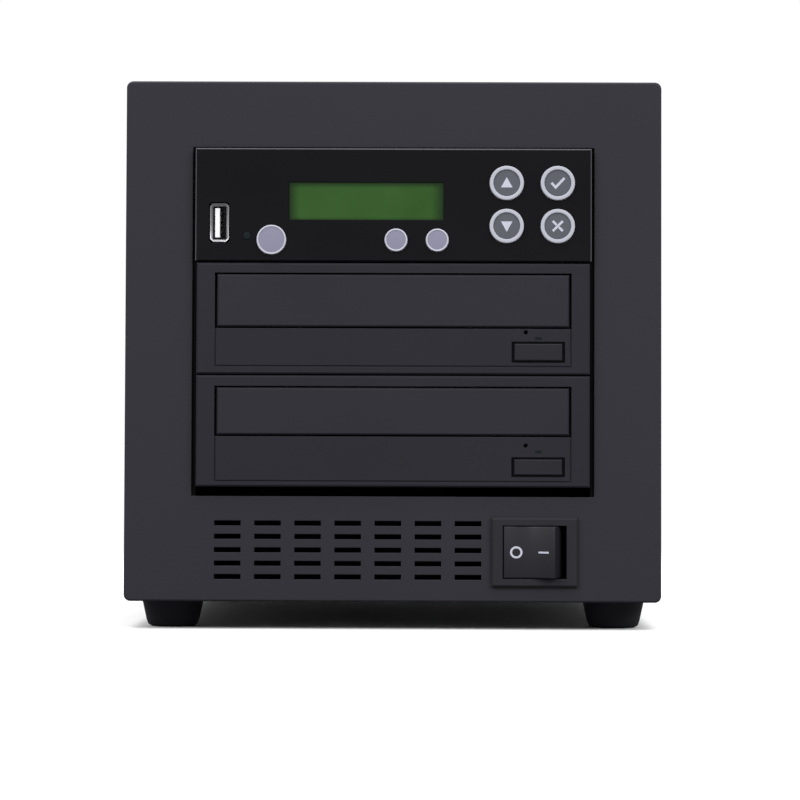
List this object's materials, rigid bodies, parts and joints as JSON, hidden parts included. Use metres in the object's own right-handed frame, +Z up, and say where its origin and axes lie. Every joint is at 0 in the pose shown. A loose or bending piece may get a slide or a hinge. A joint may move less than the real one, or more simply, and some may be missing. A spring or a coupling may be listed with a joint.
{
  "type": "disc duplicator tower",
  "caption": "Black desktop tower that copies optical discs: display and round keys above two tray-loading drives, vent slots, mains rocker switch and rubber feet",
  "frame": {"origin": "on the floor under the middle of the tower, in the plane of the feet", "axes": "X to the right seen from the front, the front faces -Y, Z up"},
  "size_m": [0.202, 0.3272, 0.2065],
  "materials": {
    "painted_steel": "fine satin black powder coat",
    "plain_steel": "zinc-plated sheet",
    "bezel_plastic": "fine-grained black",
    "door_plastic": "fine-grained black",
    "button_plastic": "smooth satin black",
    "gloss_overlay": "deep gloss black",
    "housing_plastic": "moulded black",
    "display_green": "clear window over an unlit green display",
    "key_plastic": "silver-grey with a pale rim",
    "small_key_plastic": "pale lilac-grey",
    "bright_metal": "plated shell",
    "lamp_lens": "dark teal lens",
    "switch_plastic": "satin black",
    "rocker_plastic": "satin black",
    "inlet_plastic": "satin black",
    "fan_plastic": "moulded black",
    "fan_rotor_plastic": "moulded black",
    "foot_rubber": "matt black",
    "loader_plastic": "moulded black",
    "tray_plastic": "satin black",
    "gear_plastic": "natural white",
    "turntable_plastic": "dark grey with a rubber ring",
    "sled_plastic": "dark grey",
    "circuit_board": "green solder mask",
    "cable_sheath": "soft sheath"
  },
  "bodies": {
    "case": {"front_panel": "painted_steel", "top_cover": "painted_steel", "base_pan": "painted_steel", "rear_panel": "painted_steel", "bay_bracket_left": "painted_steel", "bay_bracket_right": "painted_steel", "power_switch_body": "switch_plastic", "power_supply": "painted_steel", "mains_inlet": "inlet_plastic", "fan_frame": "fan_plastic", "control_overlay": "gloss_overlay", "control_housing": "housing_plastic", "display_glass": "display_green", "display_board": "circuit_board", "usb_port": "bright_metal", "usb_lamp": "lamp_lens", "control_shelf": "plain_steel", "controller_board": "circuit_board", "data_cables": "cable_sheath", "power_cables": "cable_sheath", "panel_cable": "cable_sheath", "foot_front_left": "foot_rubber", "foot_front_right": "foot_rubber", "foot_rear_left": "foot_rubber", "foot_rear_right": "foot_rubber", "drive_bezel_1": "bezel_plastic", "drive_chassis_1": "plain_steel", "drive_lid_1": "plain_steel", "loader_frame_1": "loader_plastic", "drive_board_1": "circuit_board", "traverse_1": "plain_steel", "drive_bezel_2": "bezel_plastic", "drive_chassis_2": "plain_steel", "drive_lid_2": "plain_steel", "loader_frame_2": "loader_plastic", "drive_board_2": "circuit_board", "traverse_2": "plain_steel"},
    "key_up": {"key_up": "key_plastic"},
    "key_down": {"key_down": "key_plastic"},
    "key_enter": {"key_enter": "key_plastic"},
    "key_cancel": {"key_cancel": "key_plastic"},
    "key_small_left": {"key_small_left": "small_key_plastic"},
    "key_small_right": {"key_small_right": "small_key_plastic"},
    "key_copy": {"key_copy": "small_key_plastic"},
    "power_rocker": {"power_rocker": "rocker_plastic"},
    "fan_rotor": {"fan_rotor": "fan_rotor_plastic"},
    "disc_tray_1": {"disc_tray_1": "tray_plastic", "tray_door_1": "door_plastic"},
    "loading_gear_1": {"loading_gear_1": "gear_plastic"},
    "eject_button_1": {"eject_button_1": "button_plastic"},
    "turntable_1": {"turntable_1": "turntable_plastic"},
    "laser_sled_1": {"laser_sled_1": "sled_plastic"},
    "disc_tray_2": {"disc_tray_2": "tray_plastic", "tray_door_2": "door_plastic"},
    "loading_gear_2": {"loading_gear_2": "gear_plastic"},
    "eject_button_2": {"eject_button_2": "button_plastic"},
    "turntable_2": {"turntable_2": "turntable_plastic"},
    "laser_sled_2": {"laser_sled_2": "sled_plastic"}
  },
  "joints": [
    {"name": "key_up_press", "type": "slide", "parent": "case", "child": "key_up", "axis": [0, 1, 0], "range_m": [0, 0.0006], "stiffness_N_per_m": 900},
    {"name": "key_down_press", "type": "slide", "parent": "case", "child": "key_down", "axis": [0, 1, 0], "range_m": [0, 0.0006], "stiffness_N_per_m": 900},
    {"name": "key_enter_press", "type": "slide", "parent": "case", "child": "key_enter", "axis": [0, 1, 0], "range_m": [0, 0.0006], "stiffness_N_per_m": 900},
    {"name": "key_cancel_press", "type": "slide", "parent": "case", "child": "key_cancel", "axis": [0, 1, 0], "range_m": [0, 0.0006], "stiffness_N_per_m": 900},
    {"name": "key_small_left_press", "type": "slide", "parent": "case", "child": "key_small_left", "axis": [0, 1, 0], "range_m": [0, 0.0006], "stiffness_N_per_m": 900},
    {"name": "key_small_right_press", "type": "slide", "parent": "case", "child": "key_small_right", "axis": [0, 1, 0], "range_m": [0, 0.0006], "stiffness_N_per_m": 900},
    {"name": "key_copy_press", "type": "slide", "parent": "case", "child": "key_copy", "axis": [0, 1, 0], "range_m": [0, 0.0006], "stiffness_N_per_m": 900},
    {"name": "power_rocker_tilt", "type": "hinge", "parent": "case", "child": "power_rocker", "pos_m": [0.0534, -0.15165, 0.0293], "axis": [0, 0, 1], "range_deg": [0, 24]},
    {"name": "fan_turn", "type": "hinge", "parent": "case", "child": "fan_rotor", "pos_m": [0.05, 0.13565, 0.1495], "axis": [0, 1, 0], "continuous": true},
    {"name": "tray_slide_1", "type": "slide", "parent": "case", "child": "disc_tray_1", "axis": [0, -1, 0], "range_m": [0, 0.138]},
    {"name": "gear_turn_1", "type": "hinge", "parent": "case", "child": "loading_gear_1", "pos_m": [-0.044, -0.14035, 0.1164], "axis": [0, 0, 1], "range_deg": [0, 879.5]},
    {"name": "eject_press_1", "type": "slide", "parent": "case", "child": "eject_button_1", "axis": [0, 1, 0], "range_m": [0, 0.0008], "stiffness_N_per_m": 900},
    {"name": "turntable_turn_1", "type": "hinge", "parent": "case", "child": "turntable_1", "pos_m": [0, -0.09235, 0.1149], "axis": [0, 0, 1], "continuous": true},
    {"name": "sled_slide_1", "type": "slide", "parent": "case", "child": "laser_sled_1", "axis": [0, 1, 0], "range_m": [0, 0.03]},
    {"name": "tray_slide_2", "type": "slide", "parent": "case", "child": "disc_tray_2", "axis": [0, -1, 0], "range_m": [0, 0.138]},
    {"name": "gear_turn_2", "type": "hinge", "parent": "case", "child": "loading_gear_2", "pos_m": [-0.044, -0.14035, 0.0741], "axis": [0, 0, 1], "range_deg": [0, 879.5]},
    {"name": "eject_press_2", "type": "slide", "parent": "case", "child": "eject_button_2", "axis": [0, 1, 0], "range_m": [0, 0.0008], "stiffness_N_per_m": 900},
    {"name": "turntable_turn_2", "type": "hinge", "parent": "case", "child": "turntable_2", "pos_m": [0, -0.09235, 0.0726], "axis": [0, 0, 1], "continuous": true},
    {"name": "sled_slide_2", "type": "slide", "parent": "case", "child": "laser_sled_2", "axis": [0, 1, 0], "range_m": [0, 0.03]}
  ],
  "couplings": [
    {"joint": "gear_turn_1", "follows": "tray_slide_1", "rad_per_m": 111.11},
    {"joint": "gear_turn_2", "follows": "tray_slide_2", "rad_per_m": 111.11}
  ]
}
